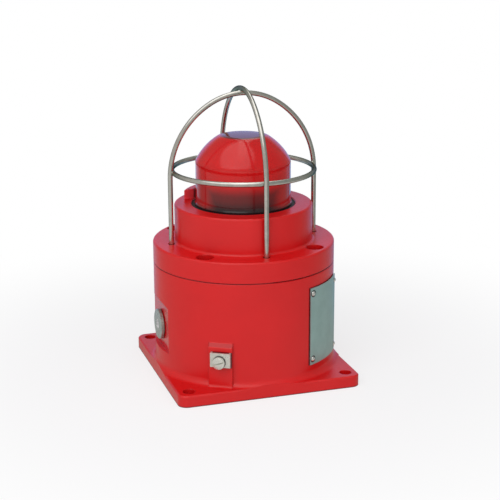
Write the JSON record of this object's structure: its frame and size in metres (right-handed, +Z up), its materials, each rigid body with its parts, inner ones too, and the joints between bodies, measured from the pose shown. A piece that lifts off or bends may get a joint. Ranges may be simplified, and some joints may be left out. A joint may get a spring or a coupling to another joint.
{
  "type": "xenon beacon light",
  "caption": "Red cast beacon light: a round drum on a square base, a bolted cover with a collar, a red domed lens and a steel wire guard.",
  "frame": {"origin": "centre of the square base's underside, on the drum's axis", "axes": "+Z up along the drum and lens, -Y the front with the earth terminal to its left and the plate to its right, -X the side with the stopping plug, +X the side with the open cable entry"},
  "size_m": [0.183, 0.183, 0.2868],
  "materials": {
    "red_paint": "gloss",
    "guard_steel": "satin",
    "plate_steel": "satin",
    "bright_steel": "polished",
    "black_steel": "satin",
    "plated_steel": "satin",
    "lens_red": "polished",
    "black_rubber": "matte",
    "fibre": "matte",
    "bare_aluminium": "satin",
    "brass_yellow": "satin",
    "ceramic_white": "satin",
    "white_plastic": "matte",
    "board_green": "satin",
    "capacitor_sleeve": "gloss",
    "core_grey": "matte",
    "winding_tape": "satin",
    "dark_plastic": "satin",
    "lead_sleeve": "satin",
    "reflector_white": "gloss",
    "tube_glass": "polished",
    "electrode_metal": "satin"
  },
  "bodies": {
    "housing": {"body_casting": "red_paint", "label_plate": "plate_steel", "label_rivets": "bright_steel", "internal_earth_screw": "bright_steel", "internal_earth_ring": "brass_yellow", "terminal_bracket": "plated_steel", "terminal_block": "white_plastic", "terminal_screws": "plated_steel", "chassis_pillars": "plated_steel", "chassis_plate": "bare_aluminium", "chassis_screws": "plated_steel", "board_spacers": "white_plastic", "circuit_board": "board_green", "board_screws": "plated_steel", "storage_capacitors": "capacitor_sleeve", "transformer_core": "core_grey", "transformer_winding": "winding_tape", "trigger_coil": "dark_plastic", "discharge_resistor": "white_plastic", "supply_leads": "lead_sleeve", "lamp_column": "bare_aluminium", "lamp_shroud": "dark_plastic", "reflector": "reflector_white", "lamp_socket": "ceramic_white", "xenon_tube": "tube_glass", "tube_electrodes": "electrode_metal"},
    "cover": {"cover_casting": "red_paint", "cover_o_ring": "black_rubber", "cover_spring_washers": "plated_steel", "lens": "lens_red", "lens_seal": "black_rubber", "lens_gasket": "black_rubber", "lens_retaining_ring": "bare_aluminium", "guard_hoop_front_back": "guard_steel", "guard_hoop_left_right": "guard_steel", "guard_ring": "guard_steel"},
    "cover_screw_1": {"cover_screw_1": "black_steel"},
    "cover_screw_2": {"cover_screw_2": "black_steel"},
    "cover_screw_3": {"cover_screw_3": "black_steel"},
    "cover_screw_4": {"cover_screw_4": "black_steel"},
    "plug_seal": {"plug_washer": "fibre"},
    "plug": {"stopping_plug": "bright_steel"},
    "earth_clamp": {"earth_saddle": "bright_steel", "earth_spring_washer": "bright_steel"},
    "earth_clamp_screw": {"earth_screw": "bright_steel"}
  },
  "joints": [
    {"name": "cover_lift", "type": "slide", "parent": "housing", "child": "cover", "axis": [0, 0, 1], "range_m": [0, 0.12]},
    {"name": "cover_screw_1_turn", "type": "hinge", "parent": "cover", "child": "cover_screw_1", "pos_m": [0.05526, -0.05526, 0.13], "axis": [0, 0, 1], "continuous": true},
    {"name": "cover_screw_2_turn", "type": "hinge", "parent": "cover", "child": "cover_screw_2", "pos_m": [0.05526, 0.05526, 0.13], "axis": [0, 0, 1], "continuous": true},
    {"name": "cover_screw_3_turn", "type": "hinge", "parent": "cover", "child": "cover_screw_3", "pos_m": [-0.05526, 0.05526, 0.13], "axis": [0, 0, 1], "continuous": true},
    {"name": "cover_screw_4_turn", "type": "hinge", "parent": "cover", "child": "cover_screw_4", "pos_m": [-0.05526, -0.05526, 0.13], "axis": [0, 0, 1], "continuous": true},
    {"name": "plug_travel", "type": "slide", "parent": "housing", "child": "plug_seal", "axis": [-1, 0, 0], "range_m": [0, 0.015]},
    {"name": "plug_turn", "type": "hinge", "parent": "plug_seal", "child": "plug", "pos_m": [-0.0857, 0, 0.054], "axis": [-1, 0, 0], "range_deg": [0, 3600]},
    {"name": "earth_clamp_travel", "type": "slide", "parent": "housing", "child": "earth_clamp", "axis": [-0.5195, -0.8545, 0], "range_m": [0, 0.013]},
    {"name": "earth_screw_turn", "type": "hinge", "parent": "earth_clamp", "child": "earth_clamp_screw", "pos_m": [-0.04987, -0.08203, 0.0387], "axis": [-0.5195, -0.8545, 0], "range_deg": [0, 4680]}
  ],
  "couplings": [
    {"joint": "plug_turn", "follows": "plug_travel", "rad_per_m": 4188.8},
    {"joint": "earth_screw_turn", "follows": "earth_clamp_travel", "rad_per_m": 6283.2}
  ]
}
